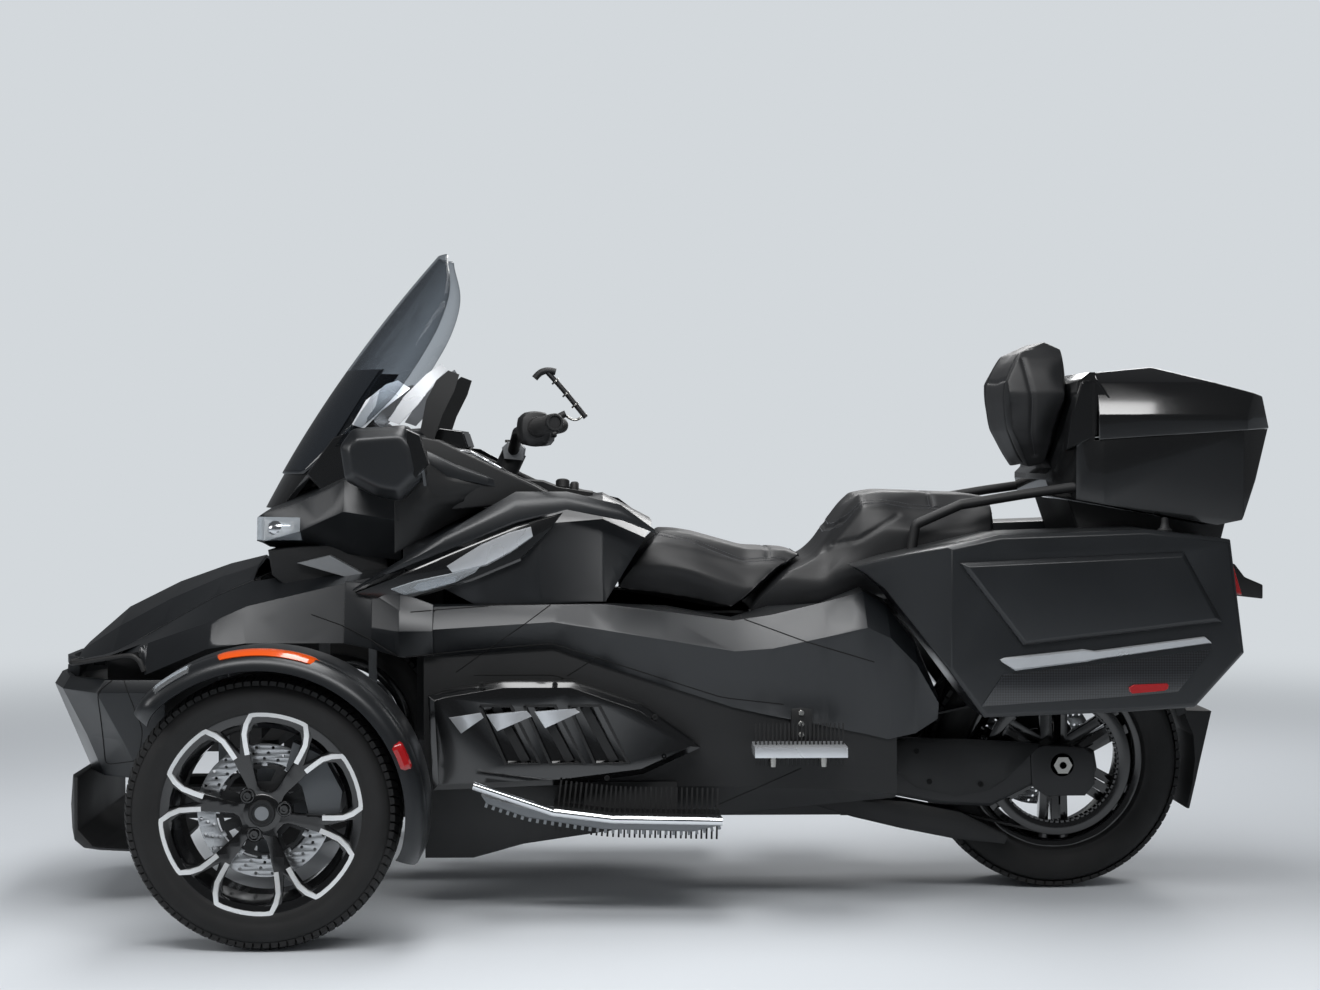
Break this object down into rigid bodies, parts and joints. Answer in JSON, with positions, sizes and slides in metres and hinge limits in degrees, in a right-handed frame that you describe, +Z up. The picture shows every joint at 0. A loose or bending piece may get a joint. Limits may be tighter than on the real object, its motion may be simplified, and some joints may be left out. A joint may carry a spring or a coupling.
{
  "type": "motorized trike",
  "caption": "Touring motorized trike with two steered front wheels, one driven rear wheel, windshield, two seats, front trunk, side cases and a top case.",
  "frame": {"origin": "on the floor under the middle of the overall length and width", "axes": "+X forward, +Y to the rider's left, +Z up"},
  "size_m": [2.74, 1.554, 1.442],
  "materials": {
    "painted_frame": "satin black",
    "satin_grey": "satin dark grey",
    "gloss_black": "gloss",
    "black_plastic": "textured",
    "clear_lens": "clear",
    "smoked_glass": "smoked",
    "chrome": "polished",
    "black_leather": "grained",
    "bare_steel": "turned",
    "belt_rubber": "ribbed",
    "cast_aluminium": "cast",
    "wheel_black": "gloss",
    "tyre_rubber": "tread",
    "grip_rubber": "ribbed"
  },
  "bodies": {
    "chassis": {"frame": "painted_frame", "engine": "painted_frame", "nose": "satin_grey", "chin": "black_plastic", "front_flanks": "satin_grey", "trunk_tub": "black_plastic", "headlight_cowl": "satin_grey", "headlamps": "clear_lens", "windshield": "smoked_glass", "windshield_base": "gloss_black", "mirrors": "satin_grey", "dash": "black_plastic", "tank_cover": "satin_grey", "side_fairings": "satin_grey", "vent_panels": "gloss_black", "side_skirts": "black_plastic", "footrests": "chrome", "rider_seat": "black_leather", "passenger_seat": "black_leather", "grab_rails": "black_plastic", "backrest": "black_leather", "top_case": "gloss_black", "side_cases": "satin_grey", "tail_bracket": "black_plastic", "rear_mudguard": "black_plastic", "swing_arm": "painted_frame", "rear_axle": "bare_steel", "drive_belt": "belt_rubber", "exhaust": "bare_steel", "wishbones": "painted_frame"},
    "knuckle_left": {"knuckle_left": "cast_aluminium", "caliper_left": "cast_aluminium", "fender_left": "satin_grey"},
    "knuckle_right": {"knuckle_right": "cast_aluminium", "caliper_right": "cast_aluminium", "fender_right": "satin_grey"},
    "front_wheel_left": {"front_wheel_left": "wheel_black", "front_tyre_left": "tyre_rubber", "front_disc_left": "bare_steel"},
    "front_wheel_right": {"front_wheel_right": "wheel_black", "front_tyre_right": "tyre_rubber", "front_disc_right": "bare_steel"},
    "rear_wheel": {"rear_wheel": "wheel_black", "rear_tyre": "tyre_rubber", "rear_disc": "bare_steel"},
    "steering": {"handlebar": "painted_frame", "grips": "grip_rubber"},
    "trunk_lid": {"trunk_lid": "satin_grey"},
    "top_case_lid": {"top_case_lid": "gloss_black"},
    "side_case_lid_left": {"side_case_lid_left": "satin_grey"},
    "side_case_lid_right": {"side_case_lid_right": "satin_grey"}
  },
  "joints": [
    {"name": "handlebar_turn", "type": "hinge", "parent": "chassis", "child": "steering", "pos_m": [0.35, 0, 0.98], "axis": [-0.4226, 0, 0.9063], "range_deg": [-26, 26]},
    {"name": "knuckle_left_turn", "type": "hinge", "parent": "chassis", "child": "knuckle_left", "pos_m": [0.823, 0.6, 0.276], "axis": [0, 0, 1], "range_deg": [-26, 26]},
    {"name": "knuckle_right_turn", "type": "hinge", "parent": "chassis", "child": "knuckle_right", "pos_m": [0.823, -0.6, 0.276], "axis": [0, 0, 1], "range_deg": [-26, 26]},
    {"name": "front_wheel_left_spin", "type": "hinge", "parent": "knuckle_left", "child": "front_wheel_left", "pos_m": [0.823, 0.654, 0.276], "axis": [0, 1, 0], "continuous": true},
    {"name": "front_wheel_right_spin", "type": "hinge", "parent": "knuckle_right", "child": "front_wheel_right", "pos_m": [0.823, -0.654, 0.276], "axis": [0, 1, 0], "continuous": true},
    {"name": "rear_wheel_spin", "type": "hinge", "parent": "chassis", "child": "rear_wheel", "pos_m": [-0.891, 0, 0.294], "axis": [0, 1, 0], "continuous": true},
    {"name": "trunk_lid_open", "type": "hinge", "parent": "chassis", "child": "trunk_lid", "pos_m": [1.33, 0, 0.548], "axis": [0, 1, 0], "range_deg": [0, 60]},
    {"name": "top_case_lid_open", "type": "hinge", "parent": "chassis", "child": "top_case_lid", "pos_m": [-0.945, 0, 1.176], "axis": [0, 1, 0], "range_deg": [0, 60]},
    {"name": "side_case_lid_left_open", "type": "hinge", "parent": "chassis", "child": "side_case_lid_left", "pos_m": [-0.95, 0.4683, 0.586], "axis": [-1, 0, 0], "range_deg": [0, 60]},
    {"name": "side_case_lid_right_open", "type": "hinge", "parent": "chassis", "child": "side_case_lid_right", "pos_m": [-0.95, -0.4683, 0.586], "axis": [1, 0, 0], "range_deg": [0, 60]}
  ],
  "couplings": [
    {"joint": "knuckle_left_turn", "follows": "handlebar_turn", "ratio": 1},
    {"joint": "knuckle_right_turn", "follows": "handlebar_turn", "ratio": 1}
  ]
}
